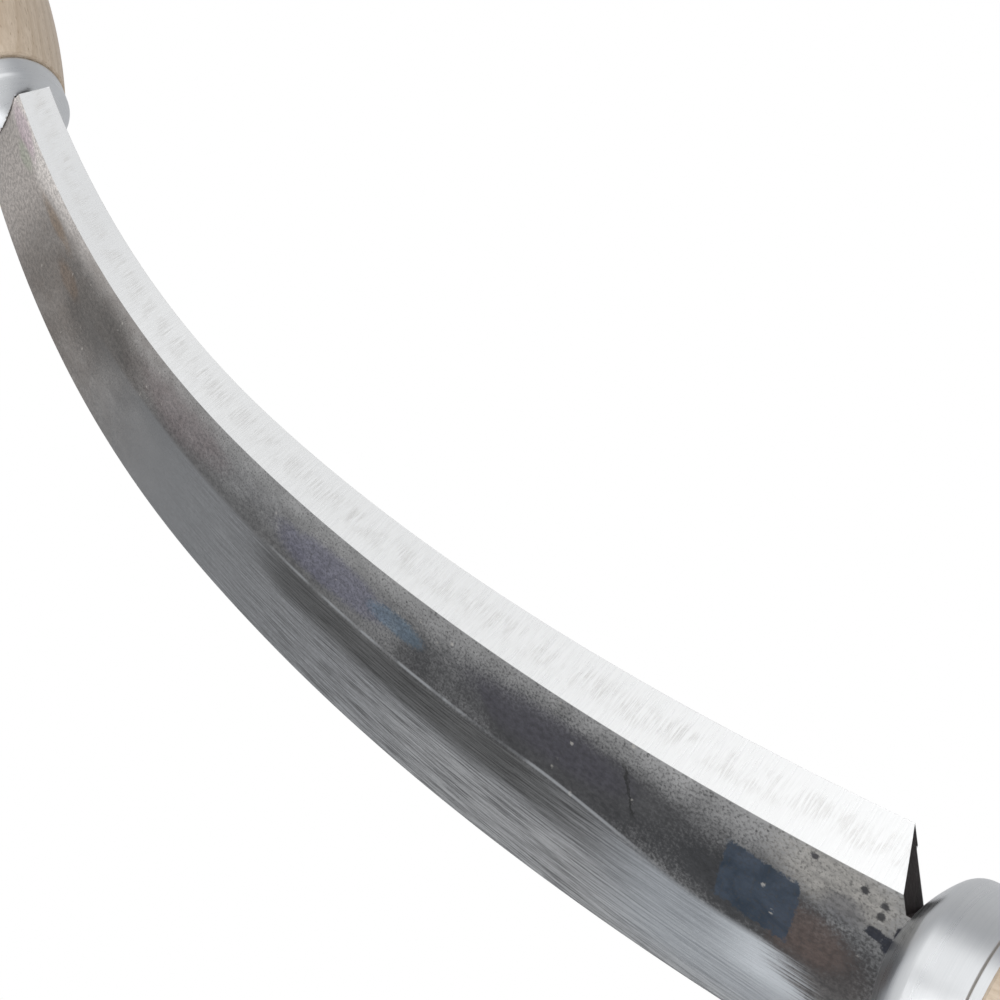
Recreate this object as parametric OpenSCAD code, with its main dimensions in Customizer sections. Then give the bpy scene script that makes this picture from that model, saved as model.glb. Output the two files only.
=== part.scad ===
// Curved drawknife: one forged blade with a riveted tang at each end, two steel ferrules,
// two turned wooden handles and two rivet washers.
//
// Frame: the flat underside of the blade lies in z = 0 and the bevel is ground on the upper
// face. The origin is in the middle of the blade, halfway between the edge and the spine.
// +X runs to the right-hand end, +Y towards the cutting edge. The edge is concave.
// All sizes are in millimetres.

/* [Blade] */
// Length of the cutting edge, measured along its curve
edge_len = 222; // [180:1:260]
// Width of the blade in the middle, edge to spine
blade_w = 26; // [23:0.5:32]
// Width of the blade at each end of the edge
end_w = 23.2; // [20:0.1:24]
// Thickness of the blade
blade_t = 3.8; // [3:0.1:5]
// Radius of the edge on the right-hand half
curve_r_right = 435; // [350:5:600]
// Radius of the edge on the left-hand half, which is forged a little tighter
curve_r_left = 285; // [240:5:420]

/* [Grind] */
// Width of the bevel, from the edge to its heel
bevel_w = 5.1; // [4:0.1:7]
// Height of the blunt land left at the very edge
edge_land = 0.15; // [0.05:0.05:0.4]
// Lean of the end cut outwards from square, in degrees
end_cut_lean = 24; // [10:1:35]
// Lean of the shoulder on the spine side, in degrees
shoulder_lean = 33; // [20:1:50]

/* [Tang] */
// Width of the neck that enters the ferrule
neck_w = 12; // [9:0.5:14]
// Height ground off the underside of the neck
neck_relief = 0.3; // [0.2:0.1:0.6]
// Distance from the edge line to the handle axis
axis_from_edge = 12.7; // [11:0.1:14]
// Side of the square tang where it leaves the neck
tang_root = 5.6; // [4.5:0.1:6]
// Side of the square tang where the round stub starts
tang_tip = 4.6; // [4:0.1:5]
// Length over which the neck steps down to the square tang
joggle_len = 3; // [2:0.5:4]
// Length of the square tang behind the neck
tang_len = 46; // [30:1:60]
// Diameter of the round stub that passes the washer
stub_d = 5; // [4:0.1:6]
// Diameter of the peened rivet head
head_d = 8.4; // [7:0.1:10]
// Height of the peened rivet head
head_h = 1.8; // [1:0.1:2.5]
// Height that the hammer flattens off the crown of the rivet head
head_flat = 0.1; // [0.05:0.05:0.3]

/* [Ferrule] */
// Outside diameter of the ferrule
ferrule_d = 21; // [20:0.5:25]
// Length of the ferrule without its rear lip
ferrule_len = 9.9; // [9:0.1:16]
// Radius of the domed front
dome_r = 14.5; // [14:0.1:20]
// Radius of the shoulder round the dome
shoulder_r = 2.2; // [1:0.1:3]
// Gap between the end of the edge and the top of the dome
dome_gap = 1.6; // [1.4:0.1:4]
// Length of the rear lip
lip_len = 1; // [0.5:0.1:2]
// Step from the ferrule down to its rear lip
lip_step = 0.4; // [0.2:0.1:0.8]
// Side wall of the ferrule
ferrule_wall = 1.8; // [1.2:0.1:2.2]
// Distance from the shoulder's centre back to the bottom of the socket
front_wall = 0.8; // [0.6:0.1:1.5]

/* [Handle] */
// Length of the handle behind the ferrule
handle_len = 104; // [80:1:130]
// Largest diameter of the handle
handle_d = 30; // [27:0.5:36]
// Diameter of the handle where it meets the ferrule
handle_front_d = 21.8; // [21.5:0.1:25]
// Diameter of the handle before the butt is rounded
handle_butt_d = 21; // [18:0.5:25]
// Distance from the front of the handle to its thickest point
belly_at = 44; // [30:1:60]
// Radius of the rounded butt
butt_r = 5; // [3:0.5:7]

/* [Washer] */
// Outside diameter of the rivet washer
washer_d = 13; // [11:0.5:15]
// Thickness of the rivet washer
washer_t = 1.6; // [1:0.1:2.5]
// Depth to which the washer is let into the butt
washer_sink = 0.8; // [0.4:0.1:1]

/* [Fits] */
// Clearance round the neck in the ferrule's slot
slot_clear = 0.1; // [0.05:0.05:0.3]
// Clearance between the handle's spigot and the ferrule
spigot_clear = 0.1; // [0.05:0.05:0.3]
// Clearance round the tang in the handle
tang_clear = 0.25; // [0.1:0.05:0.5]
// Clearance round the stub in the washer and in the butt
stub_clear = 0.1; // [0.05:0.05:0.3]
// Gap between pieces that close up face to face
face_gap = 0.05; // [0.02:0.01:0.1]

/* [Hidden] */

LEFT = -1;
RIGHT = 1;
REACH = 2 * edge_len;      // larger than anything that is cut

half_len = edge_len / 2;

ferrule_r = ferrule_d / 2;
shoulder_c = ferrule_r - shoulder_r;

// Where things stand along the handle's own axis, counted from the end of the edge
relief_x = dome_gap / 2;
dome_c_x = dome_gap + dome_r;
shoulder_x = dome_c_x - sqrt(pow(dome_r - shoulder_r, 2) - pow(shoulder_c, 2));
socket_x = shoulder_x + front_wall;
lip_x = dome_gap + ferrule_len;
ferrule_end_x = lip_x + lip_len;
spigot_x = socket_x + face_gap;
handle_x = ferrule_end_x + face_gap;
joggle_x = socket_x + joggle_len;
tang_end_x = joggle_x + tang_len;
butt_x = handle_x + handle_len;
washer_x = butt_x - washer_sink;
head_x = washer_x + washer_t + face_gap;

lip_r = ferrule_r - lip_step;
socket_r = ferrule_r - ferrule_wall;
spigot_r = socket_r - spigot_clear;
tang_bore_r = tang_root / 2 * sqrt(2) + tang_clear;
stub_bore_r = stub_d / 2 + stub_clear;

handle_r = handle_d / 2;
belly_x = handle_x + belly_at;
butt_c_x = butt_x - butt_r;

function edge_r(side) = side == RIGHT ? curve_r_right : curve_r_left;

// Angle that one half of the edge turns through
function end_angle(side) = half_len / edge_r(side) * 180 / PI;

// Radius of the arc that leaves a line square at its start and is dy off it after dx
function arc_r(dx, dy) = (dx * dx + dy * dy) / (2 * dy);

// Radius of the spine: square to the middle line, and end_w wide at the end of the edge
function spine_r(side) =
    let (a = end_angle(side), r = edge_r(side) + end_w)
    arc_r(r * sin(a), blade_w + edge_r(side) - r * cos(a));

// Puts its children in a handle's own frame: +X outwards along the handle from the end of
// the edge, +Y towards the edge side, on the handle's axis
module at_end(side) {
    a = end_angle(side);
    r = edge_r(side) + axis_from_edge;
    mirror([side == RIGHT ? 0 : 1, 0, 0])
        translate([r * sin(a), blade_w / 2 + edge_r(side) - r * cos(a), 0])
            rotate([0, 0, a])
                children();
}

// Turns a profile drawn with x as radius and y as distance about the handle's axis
module turned() {
    rotate([0, 90, 0])
        rotate([0, 0, 90])
            rotate_extrude($fn = 128)
                children();
}

// ---- Blade -------------------------------------------------------------------------

// Limits of the blade at one end, in the handle's frame: the shoulder on the spine side,
// the neck, and the end cut that starts at the end of the edge
module end_limits() {
    spine_y = axis_from_edge - end_w;
    neck_y = neck_w / 2;
    polygon([
        [-REACH, -REACH],
        [-(REACH + spine_y) * tan(shoulder_lean), -REACH],
        [(-neck_y - spine_y) * tan(shoulder_lean), -neck_y],
        [socket_x, -neck_y],
        [socket_x, neck_y],
        [(axis_from_edge - neck_y) * tan(end_cut_lean), neck_y],
        [0, axis_from_edge],
        [-REACH * tan(end_cut_lean), axis_from_edge + REACH],
        [-REACH, axis_from_edge + REACH]
    ]);
}

// Outline of one half of the blade, seen from above
module half_outline(side) {
    intersection() {
        difference() {
            translate([0, spine_r(side) - blade_w / 2])
                circle(r = spine_r(side), $fn = 1440);
            translate([0, edge_r(side) + blade_w / 2])
                circle(r = edge_r(side), $fn = 1440);
        }
        translate([side == RIGHT ? 0 : -REACH, -REACH])
            square([REACH, 2 * REACH]);
        at_end(side)
            end_limits();
    }
}

// One half of the blade: its outline at full thickness, less the cone that grinds the
// bevel and the strip that relieves the underside of the neck
module blade_half(side) {
    rise = blade_t - edge_land;
    difference() {
        linear_extrude(blade_t)
            half_outline(side);
        translate([0, edge_r(side) + blade_w / 2, edge_land])
            cylinder(h = 2 * rise, r1 = edge_r(side), r2 = edge_r(side) + 2 * bevel_w, $fn = 1440);
        at_end(side)
            translate([relief_x, -REACH / 2, neck_relief - blade_t])
                cube([REACH, REACH, blade_t]);
    }
}

// The tang behind the neck: it steps down to the handle's axis, tapers as a square bar,
// and ends in a round stub that is peened over the washer
module tang() {
    intersection() {
        translate([0, 0, -REACH / 2])
            linear_extrude(REACH)
                tang_outline(-neck_w / 2, neck_w / 2);
        rotate([90, 0, 0])
            translate([0, 0, -REACH / 2])
                linear_extrude(REACH)
                    tang_outline(neck_relief, blade_t);
    }
    rotate([0, 90, 0])
        translate([0, 0, tang_end_x - stub_d])
            cylinder(h = head_x - tang_end_x + stub_d + head_h / 2, d = stub_d, $fn = 64);
    turned()
        rivet_head();
}

// Side or plan view of the square tang, where the neck spans from neck_low to neck_high
module tang_outline(neck_low, neck_high) {
    polygon([
        [socket_x - face_gap, neck_low],
        [joggle_x, -tang_root / 2],
        [tang_end_x, -tang_tip / 2],
        [tang_end_x, tang_tip / 2],
        [joggle_x, tang_root / 2],
        [socket_x - face_gap, neck_high]
    ]);
}

// Profile of the peened head: a low dome with its crown hammered flat
module rivet_head() {
    dome_h = head_h + head_flat;
    r = arc_r(head_d / 2, dome_h);
    intersection() {
        translate([0, head_x])
            square([head_d, head_h]);
        translate([0, head_x + dome_h - r])
            circle(r = r, $fn = 256);
    }
}

module blade() {
    color("dimgray") {
        for (side = [LEFT, RIGHT]) {
            blade_half(side);
            at_end(side)
                tang();
        }
    }
}

// ---- Ferrules ----------------------------------------------------------------------

// Profile of the ferrule as a solid: domed front, round shoulder, side and rear lip. The
// dome and the shoulder run smoothly into each other on the line through their centres
module ferrule_profile() {
    out_r = 2 * shoulder_c;
    out_x = 2 * shoulder_x - dome_c_x;
    intersection() {
        translate([0, dome_c_x])
            circle(r = dome_r, $fn = 512);
        polygon([[0, -dome_r], [0, dome_c_x], [out_r, out_x], [out_r, -dome_r]]);
    }
    intersection() {
        translate([shoulder_c, shoulder_x])
            circle(r = shoulder_r, $fn = 256);
        polygon([[shoulder_c, shoulder_x], [out_r, out_x], [out_r, shoulder_x]]);
    }
    translate([0, shoulder_x])
        square([ferrule_r, lip_x - shoulder_x]);
    translate([0, lip_x])
        square([lip_r, lip_len]);
}

// A turned steel cap with a socket for the handle's spigot and a slot for the neck
module ferrule(side) {
    color("silver")
        at_end(side)
            difference() {
                turned()
                    ferrule_profile();
                rotate([0, 90, 0])
                    translate([0, 0, socket_x])
                        cylinder(h = ferrule_len + lip_len, r = socket_r, $fn = 128);
                translate([0, -neck_w / 2 - slot_clear, neck_relief - slot_clear])
                    cube([socket_x + 1, neck_w + 2 * slot_clear,
                          blade_t - neck_relief + 2 * slot_clear]);
            }
}

// ---- Handles -----------------------------------------------------------------------

// Profile of the handle as a solid: spigot, two barrel curves that meet at the belly, and
// a rounded butt that runs smoothly into the rear curve
module handle_profile() {
    front_r = arc_r(belly_at, handle_r - handle_front_d / 2);
    rear_r = arc_r(butt_x - belly_x, handle_r - handle_butt_d / 2);
    rear_run = butt_c_x - belly_x;
    rear_fall = sqrt(pow(rear_r - butt_r, 2) - pow(rear_run, 2));
    butt_c = handle_r - rear_r + rear_fall;
    axis_cut_x = belly_x + rear_run * (rear_r - handle_r) / rear_fall;
    out_r = butt_c + 2 * butt_r * rear_fall / rear_r;
    out_x = butt_c_x + 2 * butt_r * rear_run / rear_r;
    translate([0, spigot_x])
        square([spigot_r, belly_x - spigot_x]);
    intersection() {
        translate([handle_r - front_r, belly_x])
            circle(r = front_r, $fn = 1440);
        translate([0, handle_x])
            square([handle_d, belly_at]);
    }
    intersection() {
        translate([handle_r - rear_r, belly_x])
            circle(r = rear_r, $fn = 1440);
        polygon([[0, belly_x], [handle_d, belly_x], [out_r, out_x], [0, axis_cut_x]]);
    }
    intersection() {
        translate([butt_c, butt_c_x])
            circle(r = butt_r, $fn = 256);
        polygon([[butt_c, butt_c_x], [out_r, out_x], [out_r, butt_x], [butt_c, butt_x]]);
    }
    translate([0, belly_x])
        square([butt_c, butt_x - belly_x]);
}

// A turned handle, bored for the tang, with its butt recessed for the washer
module handle(side) {
    slot_y = neck_w / 2 + tang_clear;
    slot_low = -tang_root / 2 - tang_clear;
    slot_high = blade_t + tang_clear;
    color("burlywood")
        at_end(side)
            difference() {
                turned()
                    handle_profile();
                translate([0, -slot_y, slot_low])
                    cube([joggle_x + tang_clear, 2 * slot_y, slot_high - slot_low]);
                rotate([0, 90, 0]) {
                    cylinder(h = tang_end_x + tang_clear, r = tang_bore_r, $fn = 64);
                    cylinder(h = butt_x + 1, r = stub_bore_r, $fn = 64);
                    translate([0, 0, washer_x - face_gap])
                        cylinder(h = washer_t + 1, r = washer_d / 2 + face_gap, $fn = 96);
                }
            }
}

// ---- Rivet washers -----------------------------------------------------------------

// A flat washer let into the butt, with its outer corner broken
module tang_washer(side) {
    corner = washer_t / 4;
    color("gray")
        at_end(side)
            rotate([0, 90, 0])
                translate([0, 0, washer_x])
                    difference() {
                        union() {
                            cylinder(h = washer_t - corner, d = washer_d, $fn = 96);
                            translate([0, 0, washer_t - corner])
                                cylinder(h = corner, d1 = washer_d, d2 = washer_d - 2 * corner,
                                         $fn = 96);
                        }
                        translate([0, 0, -1])
                            cylinder(h = washer_t + 2, r = stub_bore_r, $fn = 64);
                    }
}

blade();
ferrule(LEFT);  // ferrule_left
ferrule(RIGHT);  // ferrule_right
handle(LEFT);  // handle_left
handle(RIGHT);  // handle_right
tang_washer(LEFT);  // tang_washer_left
tang_washer(RIGHT);  // tang_washer_right
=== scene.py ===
import math

import bmesh
import bpy
from mathutils import Matrix, Vector, noise


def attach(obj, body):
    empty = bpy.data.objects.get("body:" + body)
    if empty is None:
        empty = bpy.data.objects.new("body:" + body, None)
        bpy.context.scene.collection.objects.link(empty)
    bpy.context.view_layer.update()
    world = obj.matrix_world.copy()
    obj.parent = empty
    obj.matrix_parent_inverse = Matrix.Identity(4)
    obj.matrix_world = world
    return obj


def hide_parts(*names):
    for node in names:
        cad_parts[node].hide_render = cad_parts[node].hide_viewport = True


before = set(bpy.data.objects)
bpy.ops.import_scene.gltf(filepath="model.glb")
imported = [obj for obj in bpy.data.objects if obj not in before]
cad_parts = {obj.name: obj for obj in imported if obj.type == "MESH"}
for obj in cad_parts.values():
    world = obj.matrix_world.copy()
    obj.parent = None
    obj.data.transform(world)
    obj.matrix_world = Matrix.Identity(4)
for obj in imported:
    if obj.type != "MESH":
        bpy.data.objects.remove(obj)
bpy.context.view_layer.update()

# ---- Blade -------------------------------------------------------------------------
# One forged bar of carbon steel, curved flat in its own plane. The hammer scale is left
# on its face, one bevel is ground along the concave edge and the spine side is linished.
# It is drawn out into a neck at each end, which enters the ferrule.

MM = 0.001
PER_METRE = (1000, 1000, 1000)

edge_len = 222.0
blade_w = 26.0
end_w = 23.2
blade_t = 3.8
curve_r = {"left": 285.0, "right": 435.0}
bevel_w = 5.1
keen_land = 0.03
keen_w = 0.06
end_cut_lean = math.radians(24)
shoulder_lean = math.radians(33)
axis_from_edge = 12.7
neck_half = 6.0
neck_relief = 0.3
relief_x = 0.8
neck_end_x = 7.8
ridge_at = 13.6
ridge_turn = 1.9
ridge_turn_from = 70.0
ridge_turn_to = 98.0
ridge_swing = 0.35
ridge_swing_len = 31.0
ridge_wander = 0.25
facet_fall = 0.3
broad_dent = 0.05
close_dent = 0.022
arris = 0.3
arris_fall = 0.8 * arris
station_step = 0.6
neck_stations = (0.4, relief_x - 0.01, relief_x + 0.01, 1.2, 1.6, 1.95, 2.27, 2.6, 2.92, 2.98,
                 3.7, 4.6, 5.8, neck_end_x)
weld_m = 2e-7
sliver_m = 1e-8

half_len = edge_len / 2
SIGN = {"left": -1, "right": 1}


def end_place(side):
    """From a handle's own frame in mm, +X outwards and +Y to the edge, to the tool's."""
    radius = curve_r[side]
    turn = half_len / radius
    reach = radius + axis_from_edge
    across = blade_w / 2 + radius - reach * math.cos(turn)
    return (Matrix.Diagonal((SIGN[side] * MM, MM, MM, 1))
            @ Matrix.Translation((reach * math.sin(turn), across, 0))
            @ Matrix.Rotation(turn, 4, "Z"))


def spine_reach(side, turn):
    """How far the spine is from the edge, on the radius at this angle."""
    edge_r = curve_r[side]
    full = half_len / edge_r
    dx = (edge_r + end_w) * math.sin(full)
    dy = blade_w + edge_r - (edge_r + end_w) * math.cos(full)
    spine_r = (dx * dx + dy * dy) / (2 * dy)
    apart = blade_w + edge_r - spine_r
    return (apart * math.cos(turn)
            + math.sqrt(spine_r ** 2 - (apart * math.sin(turn)) ** 2) - edge_r)


def stations(side):
    """(distance along, point at a distance from the edge, near limit, far limit)."""
    edge_r = curve_r[side]
    sign = SIGN[side]
    count = round(half_len / station_step)
    for i in range(count + 1):
        along = half_len * i / count
        turn = along / edge_r

        def on_arc(v, turn=turn):
            reach = edge_r + v
            return Vector((sign * reach * math.sin(turn),
                           blade_w / 2 + edge_r - reach * math.cos(turn)))
        yield along, on_arc, 0.0, spine_reach(side, turn)
    place = end_place(side)
    for x in neck_stations:
        edge_side = axis_from_edge - max(neck_half, axis_from_edge - x / math.tan(end_cut_lean))
        spine_side = axis_from_edge + max(
            neck_half, end_w - axis_from_edge - x / math.tan(shoulder_lean))

        def on_line(v, x=x):
            return (place @ Vector((x, axis_from_edge - v, 0))).to_2d() / MM
        yield half_len + x, on_line, edge_side, spine_side


def ridge_v(u):
    """Where the linished strip begins, measured from the edge."""
    swing = ridge_swing * math.sin(u / ridge_swing_len)
    wave = swing + ridge_wander * noise.noise((u / 9.0, 2.0, 0.0))
    return ridge_at + wave + ridge_turn * eased(ridge_turn_from, ridge_turn_to, u)


def hammered(u, v):
    """How far the hammer left the face under its full thickness."""
    broad = noise.noise((u / 21.0, v / 9.0, 0.7))
    close = noise.noise((u / 6.0, v / 4.0, 5.2))
    return broad_dent * (1 + broad) + close_dent * (1 + close)


def eased(low, high, x):
    """0 under low and 1 over high, with a smooth rise between them."""
    t = min(max((x - low) / (high - low), 0.0), 1.0)
    return t * t * (3 - 2 * t)


bevel_steps = [0, 0.5 * keen_w / bevel_w, keen_w / bevel_w] + [i / 11 for i in range(1, 12)]
forged_steps = [i / 20 for i in range(1, 21)]
strip_steps = [i / 22 for i in range(1, 23)]


def blade_section(side, along, point, near, far):
    """One closed ring round the blade as (x, y, z, along, across, back), in mm."""
    u = SIGN[side] * along
    centre = Vector((0, blade_w / 2 + curve_r[side]))
    slope = blade_t / bevel_w
    heel = max(near, bevel_w)
    ridge = ridge_v(u)
    brow = far - arris
    beyond = along - half_len
    low = neck_relief if beyond > relief_x else 0.0
    strip_depth = facet_fall * eased(-60, 25, u) * (1 - eased(0, 6, beyond))

    def top(v):
        at = point(v)
        out = (at - centre).length - curve_r[side]
        ground = slope * out
        if out < keen_w:
            lift = slope * keen_w
            ground = keen_land + (lift - keen_land) * max(out, 0) / keen_w
        forged = blade_t
        if v > heel:
            calm = eased(heel, heel + 2.5, v) * (1 - 0.8 * eased(2, 6, beyond))
            forged -= hammered(u, v) * calm * (1 - 0.85 * eased(ridge - 1, ridge + 1, v))
            forged -= strip_depth * max(v - ridge, 0) / (blade_w - ridge_at)
        return at, min(ground, forged)

    ring = []
    for t in bevel_steps:
        v = near + (heel - near) * t
        at, z = top(v)
        ring.append((at.x, at.y, z, u, v, 0))
    for start, stop, steps in ((heel, ridge, forged_steps), (ridge, brow, strip_steps)):
        for t in steps:
            v = start + (stop - start) * t
            at, z = top(v)
            ring.append((at.x, at.y, z, u, v, 0))
    at = point(far)
    ring.append((at.x, at.y, z - arris_fall, u, far, 0))
    ring.append((at.x, at.y, low + arris_fall, u, far, 0.8))
    for t in [i / 10 for i in range(11)]:
        v = brow + (near - brow) * t
        at = point(v)
        ring.append((at.x, at.y, low, u, v, 1))
    return ring


def mesh_of_rings(rings, closed):
    """A skin over rings of points; the rings may close on each other, or get end caps."""
    count = len(rings[0])
    work = bmesh.new()
    lay = work.verts.layers.float_vector.new("lay")
    grid = []
    for ring in rings:
        row = []
        for x, y, z, *mark in ring:
            vert = work.verts.new((x * MM, y * MM, z * MM))
            vert[lay] = mark
            row.append(vert)
        grid.append(row)
    for i in range(len(grid) if closed else len(grid) - 1):
        here, there = grid[i], grid[(i + 1) % len(grid)]
        for j in range(count):
            k = (j + 1) % count
            work.faces.new((here[j], here[k], there[k], there[j]))
    if not closed:
        work.faces.new(grid[0])
        work.faces.new(grid[-1])
    return work, grid


def finished(work, name, crease):
    """Weld the skin, face it outwards, mark its creases and give it an object."""
    bmesh.ops.remove_doubles(work, verts=work.verts, dist=weld_m)
    bmesh.ops.dissolve_degenerate(work, edges=work.edges, dist=sliver_m)
    bmesh.ops.recalc_face_normals(work, faces=work.faces)
    if work.calc_volume(signed=True) < 0:
        bmesh.ops.reverse_faces(work, faces=work.faces)
    for face in work.faces:
        face.smooth = True
    for edge in work.edges:
        if len(edge.link_faces) == 2 and edge.calc_face_angle(0) > crease:
            edge.smooth = False
    mesh = bpy.data.meshes.new(name)
    work.to_mesh(mesh)
    work.free()
    piece = bpy.data.objects.new(name, mesh)
    bpy.context.scene.collection.objects.link(piece)
    return piece


rings = [blade_section("left", *s) for s in reversed(list(stations("left")))]
rings += [blade_section("right", *s) for s in list(stations("right"))[1:]]
work, grid = mesh_of_rings(rings, closed=False)
ridge_index = len(bevel_steps) + len(forged_steps) - 1
for here, there in zip(grid, grid[1:]):
    edge = work.edges.get((here[ridge_index], there[ridge_index]))
    if edge:
        edge.smooth = False
blade_forging = finished(work, "blade_forging", crease=0.12)


def put(tree, kind, feeds=None, **settings):
    """A node with its settings, and with its sockets linked or set."""
    node = tree.nodes.new(kind)
    for name, setting in settings.items():
        setattr(node, name, setting)
    for socket, feed in (feeds or {}).items():
        if isinstance(feed, bpy.types.NodeSocket):
            tree.links.new(feed, node.inputs[socket])
        else:
            node.inputs[socket].default_value = feed
    return node


def maths(tree, operation, *terms):
    """The result of a maths node, its terms linked or set."""
    return put(tree, "ShaderNodeMath", dict(enumerate(terms)), operation=operation).outputs[0]


def scaled(tree, vector, factors):
    """A vector with each of its parts multiplied."""
    return put(tree, "ShaderNodeVectorMath", {0: vector, 1: factors},
               operation="MULTIPLY").outputs[0]


def eased_mask(tree, amount, low, high):
    """0 under low and 1 over high, or the other way round if low is the larger."""
    return put(tree, "ShaderNodeMapRange",
               {"Value": amount, "From Min": low, "From Max": high},
               interpolation_type="SMOOTHSTEP").outputs["Result"]


def tinted_rgba(tree, mask, under, over):
    """Colour under, with colour over laid on where the mask says."""
    node = tree.nodes.new("ShaderNodeMix")
    node.data_type = "RGBA"
    for socket, feed in ((node.inputs["Factor"], mask), (node.inputs[6], under),
                         (node.inputs[7], over)):
        if isinstance(feed, bpy.types.NodeSocket):
            tree.links.new(feed, socket)
        else:
            socket.default_value = feed
    return node.outputs[2]


def grey(level, tint=(1, 1, 1)):
    """A grey as RGBA, with a slight tint if one is given."""
    return (level * tint[0], level * tint[1], level * tint[2], 1)


def node_group(name, inputs, outputs):
    """An empty shader group, with its two end nodes."""
    tree = bpy.data.node_groups.new(name, "ShaderNodeTree")
    for socket, kind, value in inputs:
        made = tree.interface.new_socket(socket, in_out="INPUT", socket_type=kind)
        if value is not None:
            made.default_value = value
    for socket in outputs:
        tree.interface.new_socket(socket, in_out="OUTPUT", socket_type="NodeSocketFloat")
    return tree, tree.nodes.new("NodeGroupInput"), tree.nodes.new("NodeGroupOutput")


# Fine tool marks: long thin noise, drawn out one way. Shared by all the ground and turned
# faces, and by the fibres of the wood.
tool_marks, given, made = node_group(
    "tool marks",
    [("Place", "NodeSocketVector", None), ("Fineness", "NodeSocketVector", (1, 1, 1)),
     ("Patch Size", "NodeSocketFloat", 8.0)],
    ["Lines", "Patches"])
drawn = scaled(tool_marks, given.outputs["Place"], given.outputs["Fineness"])
lines = put(tool_marks, "ShaderNodeTexNoise",
            {"Vector": drawn, "Scale": 1.0, "Detail": 5.0, "Roughness": 0.72})
patch_scale = maths(tool_marks, "DIVIDE", 1.0, given.outputs["Patch Size"])
patches = put(tool_marks, "ShaderNodeTexNoise",
              {"Vector": given.outputs["Place"], "Scale": patch_scale, "Detail": 3.0,
               "Roughness": 0.55, "Distortion": 0.4})
tool_marks.links.new(eased_mask(tool_marks, lines.outputs["Fac"], 0.34, 0.66),
                     made.inputs["Lines"])
tool_marks.links.new(eased_mask(tool_marks, patches.outputs["Fac"], 0.36, 0.64),
                     made.inputs["Patches"])

# Mottle: blotches with fine grains in them. Shared by scale, wood and dull steel.
mottle, given, made = node_group(
    "mottle",
    [("Place", "NodeSocketVector", None), ("Blotch Size", "NodeSocketFloat", 6.0),
     ("Grain Size", "NodeSocketFloat", 0.5), ("Stretch", "NodeSocketVector", (1, 1, 1))],
    ["Blotches", "Grains", "Pits"])
spread = scaled(mottle, given.outputs["Place"], given.outputs["Stretch"])
blotches = put(mottle, "ShaderNodeTexNoise",
               {"Vector": spread,
                "Scale": maths(mottle, "DIVIDE", 1.0, given.outputs["Blotch Size"]),
                "Detail": 5.0, "Roughness": 0.6, "Distortion": 0.5})
grain_scale = maths(mottle, "DIVIDE", 1.0, given.outputs["Grain Size"])
grains = put(mottle, "ShaderNodeTexNoise",
             {"Vector": spread, "Scale": grain_scale, "Detail": 3.0,
              "Roughness": 0.65})
pits = put(mottle, "ShaderNodeTexVoronoi",
           {"Vector": spread, "Scale": maths(mottle, "MULTIPLY", grain_scale, 0.6)})
for name, amount, low, high in (("Blotches", blotches.outputs["Fac"], 0.32, 0.68),
                                ("Grains", grains.outputs["Fac"], 0.3, 0.7),
                                ("Pits", pits.outputs["Distance"], 0.34, 0.12)):
    mottle.links.new(eased_mask(mottle, amount, low, high), made.inputs[name])


def group_in(tree, group, feeds):
    """A shader group put in a tree, with its sockets linked or set."""
    node = tree.nodes.new("ShaderNodeGroup")
    node.node_tree = group
    for socket, feed in feeds.items():
        if isinstance(feed, bpy.types.NodeSocket):
            tree.links.new(feed, node.inputs[socket])
        else:
            node.inputs[socket].default_value = feed
    return node


def new_material(name):
    """A material, its node tree and its Principled shader."""
    made = bpy.data.materials.new(name)
    made.use_nodes = True
    tree = made.node_tree
    return made, tree, tree.nodes["Principled BSDF"]


back_apart = 40.0
blade_steel, tree, steel = new_material("forged blade steel")
lay = put(tree, "ShaderNodeAttribute", attribute_name="lay").outputs["Vector"]
parts = put(tree, "ShaderNodeSeparateXYZ", {"Vector": lay})
u, v, back = parts.outputs["X"], parts.outputs["Y"], parts.outputs["Z"]
flat_place = put(tree, "ShaderNodeCombineXYZ",
                 {"X": u, "Y": v, "Z": maths(tree, "MULTIPLY", back, back_apart)})
place = flat_place.outputs[0]

scale_mottle = group_in(tree, mottle, {"Place": place, "Blotch Size": 9.0, "Grain Size": 0.55,
                                       "Stretch": (0.55, 1.0, 1.0)})
fine_mottle = group_in(tree, mottle, {"Place": place, "Blotch Size": 2.6, "Grain Size": 0.3,
                                      "Stretch": (0.8, 1.0, 1.0)})
spine_marks = group_in(tree, tool_marks, {"Place": place, "Fineness": (0.11, 5.2, 1.0),
                                          "Patch Size": 9.0})
edge_marks = group_in(tree, tool_marks, {"Place": place, "Fineness": (4.5, 0.30, 1.0),
                                         "Patch Size": 3.2})

# Forge scale: three depths of grey, a little warmer on the left half
leftness = eased_mask(tree, u, 10.0, -60.0)
deep = tinted_rgba(tree, leftness, grey(0.095, (1.0, 1.0, 1.04)), grey(0.115, (1.08, 1.0, 0.94)))
middle = tinted_rgba(tree, leftness, grey(0.185, (1.0, 1.0, 1.02)), grey(0.21, (1.08, 1.0, 0.94)))
light = tinted_rgba(tree, leftness, grey(0.43, (1.0, 0.99, 0.98)), grey(0.43, (1.07, 1.0, 0.95)))
scale_colour = tinted_rgba(tree, scale_mottle.outputs["Blotches"], deep, middle)
scale_colour = tinted_rgba(tree, maths(tree, "MULTIPLY", scale_mottle.outputs["Grains"], 0.38),
                           scale_colour, light)
near_heel = eased_mask(tree, v, 10.0, 5.0)
scale_colour = tinted_rgba(tree, maths(tree, "MULTIPLY", near_heel, 0.55), scale_colour, light)

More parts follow.
